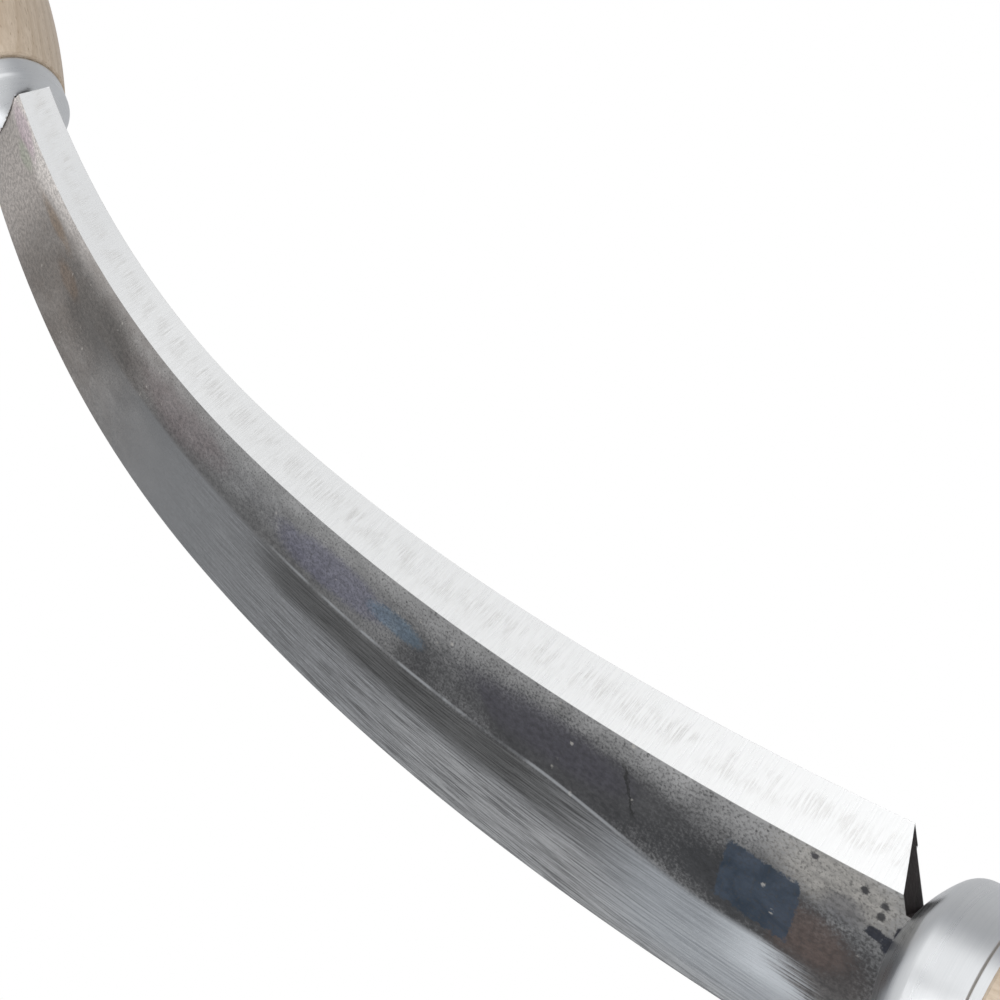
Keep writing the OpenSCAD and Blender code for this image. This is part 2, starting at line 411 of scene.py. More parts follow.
# Close mottling over all of it, darker on the right, with a little rust in it on the left, then a painted
# sheen of pale grains over it
close_mottle = group_in(tree, mottle, {"Place": place, "Blotch Size": 3.4, "Grain Size": 0.22,
                                       "Stretch": (0.6, 1.0, 1.0)})
rust = tinted_rgba(tree, leftness, grey(0.050), (0.105, 0.074, 0.056, 1))
scale_colour = tinted_rgba(tree, maths(tree, "MULTIPLY", close_mottle.outputs["Blotches"], 0.30),
                           scale_colour, rust)
# Painted sheen: pale grains mixed into the colour, a little stronger on the left
painted_sheen = maths(tree, "MULTIPLY", close_mottle.outputs["Grains"],
              maths(tree, "ADD", 0.07, maths(tree, "MULTIPLY", leftness, 0.04)))
scale_colour = tinted_rgba(tree, painted_sheen, scale_colour, grey(0.55))


def ragged_patch(under, centre, half, colour, strength, fringe):
    """A ragged patch of another colour on the scale, about a place given as (along the edge, from the edge)
    in mm.
    """
    du = maths(tree, "DIVIDE", maths(tree, "SUBTRACT", u, centre[0]), half[0])
    dv = maths(tree, "DIVIDE", maths(tree, "SUBTRACT", v, centre[1]), half[1])
    far_off = maths(tree, "SQRT", maths(tree, "ADD", maths(tree, "MULTIPLY", du, du),
                                        maths(tree, "MULTIPLY", dv, dv)))
    wander = maths(tree, "ADD", scale_mottle.outputs["Blotches"], fine_mottle.outputs["Grains"])
    ragged = maths(tree, "ADD", far_off,
                   maths(tree, "MULTIPLY", maths(tree, "SUBTRACT", wander, 1.0), 0.38))
    spot = maths(tree, "MULTIPLY", eased_mask(tree, ragged, 1.0 + fringe, 1.0 - fringe), strength)
    shown = tinted_rgba(tree, scale_mottle.outputs["Grains"], [0.70 * c for c in colour[:3]] + [1],
                        [1.30 * c for c in colour[:3]] + [1])
    return tinted_rgba(tree, spot, under, shown)


# Broad patches, lighter and darker along the face and lightest at the left-hand end, then the heat colours in
# them (violet, teal, rust), then the dark blotch and the spots at the right-hand end; the blotch is dark
# scale with painted shadow where the face meets the ferrule
for centre, half, colour, strength, fringe in (
        # Broad patches, lightest at the left-hand end and darkest towards the right
        ((-103.0, 12.0), (19.0, 15.0), (0.42, 0.385, 0.36, 1), 0.80, 0.45),
        ((-103.0, 5.0), (38.0, 3.6), (0.68, 0.64, 0.61, 1), 0.85, 0.50),
        ((-70.0, 18.0), (17.0, 8.0), (0.150, 0.128, 0.112, 1), 0.50, 0.60),
        ((-49.0, 13.0), (17.0, 5.0), (0.090, 0.082, 0.076, 1), 0.75, 0.55),
        ((8.0, 13.7), (44.0, 2.4), (0.085, 0.084, 0.084, 1), 0.60, 0.55),
        ((76.0, 11.0), (30.0, 4.4), (0.030, 0.030, 0.033, 1), 0.80, 0.55),
        ((98.0, 13.0), (13.0, 3.2), (0.026, 0.027, 0.030, 1), 0.80, 0.40),
        ((107.5, 15.5), (5.0, 3.4), (0.050, 0.042, 0.040, 1), 0.65, 0.45),
        ((29.0, 10.3), (13.0, 2.3), (0.125, 0.123, 0.185, 1), 0.50, 0.30),
        ((42.5, 10.0), (5.5, 1.2), (0.100, 0.150, 0.200, 1), 0.60, 0.25),
        ((70.0, 9.6), (13.0, 2.4), (0.062, 0.058, 0.078, 1), 0.45, 0.35),
        ((-104.0, 7.6), (8.0, 1.8), (0.430, 0.320, 0.380, 1), 0.50, 0.30),
        ((-100.0, 10.0), (4.5, 1.5), (0.330, 0.370, 0.280, 1), 0.45, 0.30),
        ((-78.0, 9.6), (8.0, 1.2), (0.230, 0.150, 0.085, 1), 0.45, 0.40),
        ((-66.0, 13.5), (5.0, 1.6), (0.220, 0.145, 0.095, 1), 0.35, 0.40),
        ((-34.0, 10.8), (5.0, 3.0), (0.110, 0.098, 0.092, 1), 0.45, 0.40),
        ((-18.0, 9.5), (15.0, 3.0), (0.190, 0.140, 0.145, 1), 0.35, 0.45),
        ((107.5, 6.9), (7.0, 2.5), (0.285, 0.272, 0.252, 1), 0.75, 0.35),
        ((105.5, 13.0), (4.0, 2.2), (0.110, 0.080, 0.070, 1), 0.60, 0.35),
        ((108.4, 8.9), (2.0, 1.2), (0.090, 0.090, 0.100, 1), 0.60, 0.50),
        # Near-black blotch where the face meets the ferrule: dark scale, deepened with painted shadow in that
        # corner
        ((111.8, 9.6), (0.9, 0.5), (0.014, 0.016, 0.026, 1), 0.92, 0.20),
        ((113.2, 10.0), (0.7, 0.7), (0.014, 0.016, 0.026, 1), 0.92, 0.20),
        ((113.9, 8.9), (0.4, 1.1), (0.014, 0.016, 0.026, 1), 0.92, 0.20),
        ((109.9, 6.4), (0.45, 0.45), (0.022, 0.022, 0.026, 1), 0.90, 0.30),
        ((112.0, 6.9), (0.45, 0.35), (0.022, 0.022, 0.026, 1), 0.85, 0.30),
        ((111.9, 7.9), (0.40, 0.35), (0.022, 0.022, 0.026, 1), 0.85, 0.30),
        ((104.6, 5.8), (0.50, 0.30), (0.022, 0.022, 0.030, 1), 0.85, 0.30)):
    scale_colour = ragged_patch(scale_colour, centre, half, colour, strength, fringe)

# A flake of scale with crisp sides, deep blue, near the right-hand end
jag = put(tree, "ShaderNodeTexNoise", {"Vector": place, "Scale": 1.5, "Detail": 4.0, "Roughness": 0.65})
jag = maths(tree, "MULTIPLY", maths(tree, "SUBTRACT", jag.outputs["Fac"], 0.5), 1.5)
du = maths(tree, "ABSOLUTE", maths(tree, "SUBTRACT", u, 100.0))
dv = maths(tree, "ABSOLUTE", maths(tree, "SUBTRACT", maths(tree, "SUBTRACT", v, 11.7),
                                   maths(tree, "MULTIPLY", maths(tree, "SUBTRACT", u, 100.0), 0.05)))
outside = maths(tree, "SMOOTH_MAX", maths(tree, "SUBTRACT", du, 4.2),
                maths(tree, "SUBTRACT", dv, 2.8), 1.0)
flake = eased_mask(tree, maths(tree, "ADD", outside, jag), 0.22, -0.10)
flake_colour = tinted_rgba(tree, fine_mottle.outputs["Blotches"], (0.022, 0.034, 0.052, 1),
                           (0.045, 0.060, 0.085, 1))
scale_colour = tinted_rgba(tree, maths(tree, "MULTIPLY", flake, 0.92), scale_colour, flake_colour)

# A hair crack in the scale, then dark specks, pits and pale chips
off_crack = maths(tree, "SUBTRACT", maths(tree, "SUBTRACT", u, 83.4),
                  maths(tree, "MULTIPLY", maths(tree, "SUBTRACT", v, 10.0), 0.62))
off_crack = maths(tree, "ABSOLUTE", maths(tree, "ADD", off_crack, maths(tree, "MULTIPLY", jag, 1.2)))
crack = maths(tree, "MULTIPLY", eased_mask(tree, off_crack, 0.34, 0.12),
              eased_mask(tree, maths(tree, "ABSOLUTE", maths(tree, "SUBTRACT", v, 10.0)), 2.7, 1.8))
scale_colour = tinted_rgba(tree, maths(tree, "MULTIPLY", crack, 0.8), scale_colour, grey(0.02))
specks = eased_mask(tree, fine_mottle.outputs["Grains"], 0.45, 0.05)
specks = maths(tree, "MULTIPLY", specks,
               maths(tree, "SUBTRACT", 0.45, maths(tree, "MULTIPLY", leftness, 0.30)))
scale_colour = tinted_rgba(tree, specks, scale_colour, grey(0.05))
pit_mask = maths(tree, "MULTIPLY", fine_mottle.outputs["Pits"], scale_mottle.outputs["Grains"])
pit_mask = maths(tree, "MULTIPLY", pit_mask, eased_mask(tree, near_heel, 0.0, 0.8))
scale_colour = tinted_rgba(tree, maths(tree, "MULTIPLY", pit_mask, 0.75), scale_colour, grey(0.03))
chips = put(tree, "ShaderNodeTexVoronoi", {"Vector": place, "Scale": 0.33, "Randomness": 1.0})
chip_mask = maths(tree, "MULTIPLY", eased_mask(tree, chips.outputs["Distance"], 0.12, 0.05),
                  eased_mask(tree, scale_mottle.outputs["Grains"], 0.35, 0.75))
scale_colour = tinted_rgba(tree, maths(tree, "MULTIPLY", chip_mask, 0.5), scale_colour,
                           grey(0.50, (1.0, 0.95, 0.88)))

# Linished strip: smooth on the left, streaked on the right, with painted shade in a band just behind the
# ridge and painted bluish highlights towards the right-hand end
ridge_wave = maths(tree, "MULTIPLY", maths(tree, "SINE", maths(tree, "DIVIDE", u, ridge_swing_len)),
                   ridge_swing)
ridge_here = maths(tree, "ADD", maths(tree, "ADD", ridge_wave, ridge_at),
                   maths(tree, "MULTIPLY", eased_mask(tree, u, ridge_turn_from, ridge_turn_to),
                         ridge_turn))
past_ridge = maths(tree, "SUBTRACT", v, ridge_here)
strip = maths(tree, "MULTIPLY", eased_mask(tree, past_ridge, -0.1, 0.8), eased_mask(tree, u, -62.0, -2.0))
run_out = maths(tree, "ADD", u, maths(tree, "MULTIPLY", maths(tree, "SUBTRACT", 18.0, v), 1.2))
run_out = maths(tree, "ADD", run_out, maths(tree, "MULTIPLY", spine_marks.outputs["Lines"], 4.0))
strip = maths(tree, "MULTIPLY", strip, eased_mask(tree, run_out, 111.0, 105.0))
streaked = eased_mask(tree, u, -30.0, 40.0)
lines = put(tree, "ShaderNodeMix",
            {"Factor": streaked, "A": 0.5, "B": spine_marks.outputs["Lines"]}).outputs[0]
streak = tinted_rgba(tree, lines, grey(0.080, (0.98, 1.0, 1.03)), grey(0.330, (0.98, 1.0, 1.04)))
streak = tinted_rgba(tree, maths(tree, "MULTIPLY", scale_mottle.outputs["Grains"], 0.25), streak, grey(0.10))
# Painted shade: a dark band just behind the ridge
shade_behind_ridge = maths(tree, "MULTIPLY", eased_mask(tree, past_ridge, 5.4, 3.0),
                     maths(tree, "MULTIPLY", eased_mask(tree, u, 5.0, 22.0),
                           eased_mask(tree, u, 92.0, 66.0)))
streak = tinted_rgba(tree, maths(tree, "MULTIPLY", shade_behind_ridge, 0.95), streak,
                     tinted_rgba(tree, lines, grey(0.022), grey(0.10)))
paler = maths(tree, "MULTIPLY", eased_mask(tree, u, 35.0, 58.0), eased_mask(tree, v, 17.5, 20.5))
streak = tinted_rgba(tree, maths(tree, "MULTIPLY", paler, maths(tree, "MULTIPLY", lines, 0.5)),
                     streak, grey(0.42))
# Painted highlights: bluish light on the strip towards the right-hand end, brightest near the end
highlight_place = maths(tree, "MULTIPLY", eased_mask(tree, u, 78.0, 92.0),
                     eased_mask(tree, v, 24.5, 21.0))
streak = tinted_rgba(tree, maths(tree, "MULTIPLY", highlight_place, 0.55), streak,
                     grey(0.36, (0.93, 1.0, 1.08)))
brightest_highlight = maths(tree, "MULTIPLY", eased_mask(tree, u, 95.0, 103.0), eased_mask(tree, v, 20.5, 18.5))
streak = tinted_rgba(tree, maths(tree, "MULTIPLY", brightest_highlight, 0.55), streak,
                     grey(0.66, (0.96, 1.0, 1.05)))
face_colour = tinted_rgba(tree, maths(tree, "MULTIPLY", strip, 0.9), scale_colour, streak)
# Painted highlight: a pale line along the ridge, broken up in patches
ridge_highlight = maths(tree, "MULTIPLY", eased_mask(tree, maths(tree, "ABSOLUTE", past_ridge), 0.28, 0.06),
                   eased_mask(tree, u, 5.0, 30.0))
ridge_highlight = maths(tree, "MULTIPLY", ridge_highlight, eased_mask(tree, u, 92.0, 80.0))
ridge_highlight = maths(tree, "MULTIPLY", ridge_highlight, eased_mask(tree, spine_marks.outputs["Patches"], -0.3, 0.9))
face_colour = tinted_rgba(tree, maths(tree, "MULTIPLY", ridge_highlight, 0.6), face_colour,
                          grey(0.40, (0.97, 1.0, 1.04)))

# Bevel: ground bright, with marks square to the edge, a duller band in its middle and painted shade towards
# the left-hand end
bevel = eased_mask(tree, v, bevel_w + 0.04, bevel_w - 0.04)
bevel = maths(tree, "MULTIPLY", bevel, eased_mask(tree, back, 0.02, 0.01))
middle_band = maths(tree, "MULTIPLY", eased_mask(tree, v, 0.9, 2.0), eased_mask(tree, v, 4.2, 3.2))
dull = maths(tree, "MULTIPLY", middle_band, edge_marks.outputs["Patches"])
dull = maths(tree, "MULTIPLY", dull, eased_mask(tree, edge_marks.outputs["Lines"], 0.75, 0.25))
bright = tinted_rgba(tree, edge_marks.outputs["Lines"], grey(0.89, (1.0, 0.997, 0.988)),
                     grey(0.96, (1.0, 0.998, 0.992)))
# Painted shade: the bevel darker towards the left-hand end
bright = tinted_rgba(tree, maths(tree, "MULTIPLY", eased_mask(tree, u, -25.0, -80.0), 0.8),
                     bright, grey(0.80))
bevel_colour = tinted_rgba(tree, maths(tree, "MULTIPLY", dull, 0.6), bright, grey(0.68, (1.0, 0.98, 0.95)))

# Flat back: ground all over, with long streaks and thin scale left towards the spine
back_mask = eased_mask(tree, back, 0.9, 0.98)
back_colour = tinted_rgba(tree, spine_marks.outputs["Lines"], grey(0.42), grey(0.60, (0.98, 1.0, 1.02)))
left_scale = maths(tree, "MULTIPLY", eased_mask(tree, v, 9.0, 17.0), scale_mottle.outputs["Blotches"])
back_colour = tinted_rgba(tree, maths(tree, "MULTIPLY", left_scale, 0.75), back_colour,
                          grey(0.13, (1.04, 1.0, 0.96)))

# Sloping end cuts: near-black, from the edge to just behind the bevel's heel
end_cut = eased_mask(tree, maths(tree, "ABSOLUTE", u), half_len + 0.02, half_len + 0.10)
upright = maths(tree, "MULTIPLY", eased_mask(tree, back, 0.01, 0.03),
                eased_mask(tree, back, 0.99, 0.97))
end_cut = maths(tree, "MULTIPLY", end_cut, maths(tree, "MULTIPLY", upright, eased_mask(tree, v, 8.0, 7.0)))
end_black = tinted_rgba(tree, fine_mottle.outputs["Blotches"], grey(0.012, (1.4, 1.0, 0.9)),
                    grey(0.030, (1.3, 1.0, 1.0)))
colour = tinted_rgba(tree, bevel, face_colour, bevel_colour)
colour = tinted_rgba(tree, back_mask, colour, back_colour)
colour = tinted_rgba(tree, end_cut, colour, end_black)
tree.links.new(colour, steel.inputs["Base Color"])

bright_metal = maths(tree, "MAXIMUM", bevel, back_mask)
rough_scale = maths(tree, "ADD", 0.50, maths(tree, "MULTIPLY", scale_mottle.outputs["Grains"], 0.18))
rough_strip = maths(tree, "SUBTRACT", rough_scale, maths(tree, "MULTIPLY", strip, 0.20))
rough_ground = maths(tree, "ADD", 0.26, maths(tree, "MULTIPLY", edge_marks.outputs["Lines"], 0.10))
mixed_rough = put(tree, "ShaderNodeMix", {"Factor": bright_metal, "A": rough_strip, "B": rough_ground})
tree.links.new(mixed_rough.outputs[0], steel.inputs["Roughness"])
metal_amount = put(tree, "ShaderNodeMix", {"Factor": bright_metal, "A": 0.72, "B": 1.0})
tree.links.new(metal_amount.outputs[0], steel.inputs["Metallic"])

height_scale = maths(tree, "ADD", maths(tree, "MULTIPLY", fine_mottle.outputs["Grains"], 0.6),
                     maths(tree, "MULTIPLY", pit_mask, -1.2))
height_strip = maths(tree, "MULTIPLY", spine_marks.outputs["Lines"], 0.6)
height_face = put(tree, "ShaderNodeMix", {"Factor": strip, "A": height_scale, "B": height_strip}).outputs[0]
height_bevel = maths(tree, "MULTIPLY", edge_marks.outputs["Lines"], 0.10)
height = put(tree, "ShaderNodeMix", {"Factor": bright_metal, "A": height_face, "B": height_bevel}).outputs[0]
bump = put(tree, "ShaderNodeBump", {"Height": height, "Strength": 0.55, "Distance": 0.00006})
tree.links.new(bump.outputs["Normal"], steel.inputs["Normal"])

blade_forging.data.materials.append(blade_steel)
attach(blade_forging, "root")
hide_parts("blade")

# ---- Tangs -------------------------------------------------------------------------
# Each end of the blade runs on as a square tang right through its handle. Its tip is
# round, and is hammered over a washer at the butt into a low rivet head.

tang_lap = 1.0
tang_steel, tree, steel = new_material("tang and rivet steel")
where = put(tree, "ShaderNodeTexCoord").outputs["Object"]
in_mm = scaled(tree, where, PER_METRE)
dents = group_in(tree, mottle, {"Place": in_mm, "Blotch Size": 2.2, "Grain Size": 0.35})
file_marks = group_in(tree, tool_marks, {"Place": in_mm, "Fineness": (0.8, 3.0, 3.0), "Patch Size": 3.0})
dark = tinted_rgba(tree, dents.outputs["Grains"], grey(0.20, (1.03, 1.0, 0.97)), grey(0.34))
tree.links.new(tinted_rgba(tree, maths(tree, "MULTIPLY", dents.outputs["Blotches"], 0.7), dark,
                           grey(0.50)), steel.inputs["Base Color"])
tree.links.new(maths(tree, "ADD", 0.34, maths(tree, "MULTIPLY", dents.outputs["Grains"], 0.2)),
               steel.inputs["Roughness"])
steel.inputs["Metallic"].default_value = 1.0
dent_height = maths(tree, "ADD", dents.outputs["Blotches"],
                    maths(tree, "MULTIPLY", file_marks.outputs["Lines"], 0.2))
bump = put(tree, "ShaderNodeBump", {"Height": dent_height, "Strength": 0.5, "Distance": 0.0002})
tree.links.new(bump.outputs["Normal"], steel.inputs["Normal"])

for side in ("left", "right"):
    place_end = end_place(side)
    outward = (place_end.to_3x3() @ Vector((1, 0, 0))).normalized()
    cut_at = place_end @ Vector((neck_end_x - tang_lap, 0, 0))
    work = bmesh.new()
    work.from_mesh(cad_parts["blade"].data)
    bmesh.ops.remove_doubles(work, verts=work.verts, dist=1e-6)
    whole = work.verts[:] + work.edges[:] + work.faces[:]
    bmesh.ops.bisect_plane(work, geom=whole, plane_co=cut_at, plane_no=outward, clear_inner=True)
    rim = [e for e in work.edges if e.is_boundary]
    bmesh.ops.holes_fill(work, edges=rim, sides=0)
    tang = finished(work, "tang_" + side, crease=0.5)
    tang.data.materials.append(tang_steel)
    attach(tang, "root")
    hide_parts("blade")

# ---- Ferrules ----------------------------------------------------------------------
# A thick cap turned from mild steel at each end, satin polished. Its domed front has a
# slot for the blade's neck, and its socket grips the spigot of the handle.

ferrule_r = 10.5
shoulder_r = 2.2
dome_r = 14.5
dome_gap = 1.6
ferrule_len = 9.9
lip_len = 1.0
lip_step = 0.4
ferrule_wall = 1.8
front_wall = 0.8
socket_r = ferrule_r - ferrule_wall
mouth_break = 0.15
rim_round = 0.12
slot_clear = 0.1
slot_corner = 0.5
slot_over = 2
turned_sides = 192
wrap_r = 12

shoulder_c = ferrule_r - shoulder_r
dome_c_x = dome_gap + dome_r
shoulder_x = dome_c_x - math.sqrt((dome_r - shoulder_r) ** 2 - shoulder_c ** 2)
socket_x = shoulder_x + front_wall
lip_x = dome_gap + ferrule_len
ferrule_end_x = lip_x + lip_len


def arc(cx, cr, radius, start, stop, count):
    """Points on an arc in a turned profile, as (distance along the axis, radius)."""
    for i in range(count + 1):
        angle = math.radians(start + (stop - start) * i / count)
        yield cx + radius * math.cos(angle), cr + radius * math.sin(angle)


def turned(name, profile, side, crease):
    """A closed profile turned round the handle's axis and put at its end of the blade."""
    place = end_place(side)
    lengths = [0.0]
    for (x0, r0), (x1, r1) in zip(profile, profile[1:]):
        lengths.append(lengths[-1] + math.hypot(x1 - x0, r1 - r0))
    rings = []
    for i in range(turned_sides):
        angle = 2 * math.pi * i / turned_sides
        ring = []
        for (x, r), length in zip(profile, lengths):
            at = place @ Vector((x, r * math.cos(angle), r * math.sin(angle)))
            around = (wrap_r * math.cos(angle), wrap_r * math.sin(angle))
            ring.append((*(at / MM), length, *around))
        rings.append(ring)
    work, _ = mesh_of_rings(rings, closed=True)
    return finished(work, name, crease)


meet = math.degrees(math.atan2(shoulder_c, shoulder_x - dome_c_x))
ferrule_profile = [(dome_gap, 0.0)]
ferrule_profile += list(arc(dome_c_x, 0, dome_r, 180, meet, 26))[1:]
ferrule_profile += list(arc(shoulder_x, shoulder_c, shoulder_r, meet, 90, 12))[1:]
ferrule_profile += [(shoulder_x + (lip_x - shoulder_x) * t, ferrule_r) for t in (0.35, 0.7)]
ferrule_profile += arc(lip_x - rim_round, ferrule_r - rim_round, rim_round, 90, 0, 4)
lip_r = ferrule_r - lip_step
ferrule_profile += arc(lip_x + rim_round, lip_r + rim_round, rim_round, 180, 270, 4)
ferrule_profile += arc(ferrule_end_x - rim_round, lip_r - rim_round, rim_round, 90, 0, 4)
ferrule_profile += [(ferrule_end_x, socket_r + mouth_break), (ferrule_end_x - mouth_break, socket_r),
                    (socket_x, socket_r), (socket_x, 0.0)]

ferrule_steel, tree, steel = new_material("satin ferrule steel")
lay = put(tree, "ShaderNodeAttribute", attribute_name="lay").outputs["Vector"]
turn_marks = group_in(tree, tool_marks, {"Place": lay, "Fineness": (9.0, 0.10, 0.10), "Patch Size": 6.0})
soft_marks = group_in(tree, tool_marks, {"Place": lay, "Fineness": (2.2, 0.05, 0.05), "Patch Size": 2.5})
stain = group_in(tree, mottle, {"Place": lay, "Blotch Size": 5.0, "Grain Size": 0.4})
base = tinted_rgba(tree, turn_marks.outputs["Lines"], grey(0.66, (0.985, 1.0, 1.015)),
                   grey(0.70, (0.99, 1.0, 1.01)))
base = tinted_rgba(tree, maths(tree, "MULTIPLY", soft_marks.outputs["Lines"], 0.12), base, grey(0.80))
base = tinted_rgba(tree, maths(tree, "MULTIPLY", stain.outputs["Blotches"], 0.14), base,
                   grey(0.50, (0.98, 1.0, 1.03)))
tree.links.new(base, steel.inputs["Base Color"])
steel.inputs["Metallic"].default_value = 1.0
tree.links.new(maths(tree, "ADD", 0.27, maths(tree, "MULTIPLY", soft_marks.outputs["Lines"], 0.06)),
               steel.inputs["Roughness"])
turn_height = maths(tree, "ADD", turn_marks.outputs["Lines"], soft_marks.outputs["Lines"])
bump = put(tree, "ShaderNodeBump", {"Height": turn_height, "Strength": 0.06, "Distance": 0.00002})
tree.links.new(bump.outputs["Normal"], steel.inputs["Normal"])

for side in ("left", "right"):
    cap = turned("ferrule_cap_" + side, ferrule_profile, side, crease=0.45)
    cutter_work = bmesh.new()
    bmesh.ops.create_cube(cutter_work, size=1.0)
    slot_w = 2 * (neck_half + slot_clear)
    slot_h = blade_t - neck_relief + 2 * slot_clear
    slot_mid = (blade_t + neck_relief) / 2
    shape = (end_place(side) @ Matrix.Translation((socket_x / 2, 0, slot_mid))
             @ Matrix.Diagonal((socket_x + slot_over, slot_w, slot_h, 1)))
    cutter_work.transform(shape)
    corner_edges = [e for e in cutter_work.edges
                    if abs((e.verts[0].co - e.verts[1].co).length - (socket_x + slot_over) * MM) < 1e-7]
    bmesh.ops.bevel(cutter_work, geom=corner_edges, offset=slot_corner * MM, segments=4,
                    affect="EDGES", profile=0.5)
    cutter = finished(cutter_work, "slot_cutter", crease=1.0)
    cut = cap.modifiers.new("slot", "BOOLEAN")
    cut.operation = "DIFFERENCE"
    cut.solver = "EXACT"
    cut.object = cutter
    bpy.context.view_layer.update()
    seen = bpy.context.evaluated_depsgraph_get()
    slotted = bpy.data.meshes.new_from_object(cap.evaluated_get(seen), depsgraph=seen)
    cap.modifiers.clear()
    cap.data = slotted
    bpy.data.objects.remove(cutter)
    cap.data.materials.clear()
    cap.data.materials.append(ferrule_steel)
    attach(cap, "root")
    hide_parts("ferrule_" + side)

# ---- Handles -----------------------------------------------------------------------
# Turned from pale, straight-grained hardwood and oiled. A spigot fills the ferrule's
# socket, the grip swells to its belly and the butt is rounded over and recessed.

face_gap = 0.05
handle_x = ferrule_end_x + face_gap
handle_len = 104.0
handle_r = 15.0
front_r = 10.9
butt_turn_r = 10.5
butt_round = 5.0
recess_depth = 0.8
joggle_len = 3.0
tang_len = 46.0
tang_tip_gap = 0.25
spigot_clear = 0.1
spigot_corner = 0.3
front_corner = 0.35
recess_corner = 0.25
belly_x = handle_x + 44.0
butt_x = handle_x + handle_len
washer_x = butt_x - recess_depth
recess_r = 6.55
tang_bore_r = 4.21
stub_bore_r = 2.6
tang_end_x = socket_x + joggle_len + tang_len
spigot_r = socket_r - spigot_clear
spigot_x = socket_x + face_gap


def sagitta_r(dx, dy):
    """Radius of an arc that falls dy over a run of dx from its crown."""
    return (dx * dx + dy * dy) / (2 * dy)


front_arc = sagitta_r(belly_x - handle_x, handle_r - front_r)
rear_arc = sagitta_r(butt_x - belly_x, handle_r - butt_turn_r)
rear_run = butt_x - butt_round - belly_x
butt_c = handle_r - rear_arc + math.sqrt((rear_arc - butt_round) ** 2 - rear_run ** 2)
lean = math.degrees(math.asin(rear_run / (rear_arc - butt_round)))
front_lean = math.degrees(math.asin((belly_x - handle_x) / front_arc))
front_start = 90 + front_lean * 0.992
handle_profile = [(spigot_x, tang_bore_r), (spigot_x, spigot_r - spigot_corner),
                  (spigot_x + spigot_corner, spigot_r), (handle_x, spigot_r),
                  (handle_x, front_r - front_corner)]
handle_profile += list(arc(belly_x, handle_r - front_arc, front_arc, front_start, 90, 30))
handle_profile += list(arc(belly_x, handle_r - rear_arc, rear_arc, 90, 90 - lean, 36))[1:]
handle_profile += list(arc(butt_x - butt_round, butt_c, butt_round, 90 - lean, 0, 14))[1:]
handle_profile += [(butt_x, recess_r + recess_corner), (butt_x - recess_corner, recess_r),
                   (washer_x - face_gap, recess_r), (washer_x - face_gap, stub_bore_r),
                   (tang_end_x + tang_tip_gap, stub_bore_r),
                   (tang_end_x + tang_tip_gap, tang_bore_r)]
handle_profile.append(handle_profile[0])

pith_off = 34.0
growth_ring = 2.3
handle_wood, tree, wood = new_material("oiled handle wood")
lay = put(tree, "ShaderNodeAttribute", attribute_name="grain").outputs["Vector"]
bend = put(tree, "ShaderNodeTexNoise",
           {"Vector": scaled(tree, lay, (0.012, 0.06, 0.06)), "Scale": 1.0, "Detail": 2.0})
sway = scaled(tree, bend.outputs["Color"], (0.0, 7.0, 7.0))
bent = put(tree, "ShaderNodeVectorMath", {0: lay, 1: sway}, operation="ADD").outputs[0]
bent_parts = put(tree, "ShaderNodeSeparateXYZ", {"Vector": bent})
ring_centre = maths(tree, "ADD", bent_parts.outputs["Y"], pith_off)
ring_r = maths(tree, "SQRT", maths(tree, "ADD", maths(tree, "MULTIPLY", ring_centre, ring_centre),
                                   maths(tree, "MULTIPLY", bent_parts.outputs["Z"], bent_parts.outputs["Z"])))
ring_wave = maths(tree, "FRACT", maths(tree, "DIVIDE", ring_r, growth_ring))
late_wood = maths(tree, "MULTIPLY", eased_mask(tree, ring_wave, 0.35, 0.92),
                  eased_mask(tree, ring_wave, 1.0, 0.94))
fibres = group_in(tree, tool_marks, {"Place": bent, "Fineness": (0.10, 2.6, 2.6), "Patch Size": 14.0})
pores = put(tree, "ShaderNodeTexVoronoi",
            {"Vector": scaled(tree, bent, (0.16, 2.0, 2.0)), "Scale": 1.0})
pore_mask = maths(tree, "MULTIPLY", eased_mask(tree, pores.outputs["Distance"], 0.22, 0.08), 0.6)
tone = group_in(tree, mottle, {"Place": bent, "Blotch Size": 16.0, "Grain Size": 0.8,
                               "Stretch": (0.2, 1.0, 1.0)})
wood_colour = tinted_rgba(tree, fibres.outputs["Lines"], (0.590, 0.470, 0.345, 1),
                          (0.715, 0.590, 0.460, 1))
wood_colour = tinted_rgba(tree, maths(tree, "MULTIPLY", late_wood, 0.40), wood_colour,
                          (0.470, 0.345, 0.225, 1))
wood_colour = tinted_rgba(tree, maths(tree, "MULTIPLY", tone.outputs["Blotches"], 0.22), wood_colour,
                          (0.540, 0.430, 0.330, 1))
wood_colour = tinted_rgba(tree, pore_mask, wood_colour, (0.300, 0.180, 0.090, 1))
tree.links.new(wood_colour, wood.inputs["Base Color"])
tree.links.new(maths(tree, "ADD", 0.42, maths(tree, "MULTIPLY", fibres.outputs["Lines"], 0.14)),
               wood.inputs["Roughness"])
wood.inputs["Specular IOR Level"].default_value = 0.4
wood.inputs["Coat Weight"].default_value = 0.12
wood.inputs["Coat Roughness"].default_value = 0.35
wood_height = maths(tree, "SUBTRACT", maths(tree, "MULTIPLY", fibres.outputs["Lines"], 0.4), pore_mask)
bump = put(tree, "ShaderNodeBump", {"Height": wood_height, "Strength": 0.5, "Distance": 0.00008})
tree.links.new(bump.outputs["Normal"], wood.inputs["Normal"])

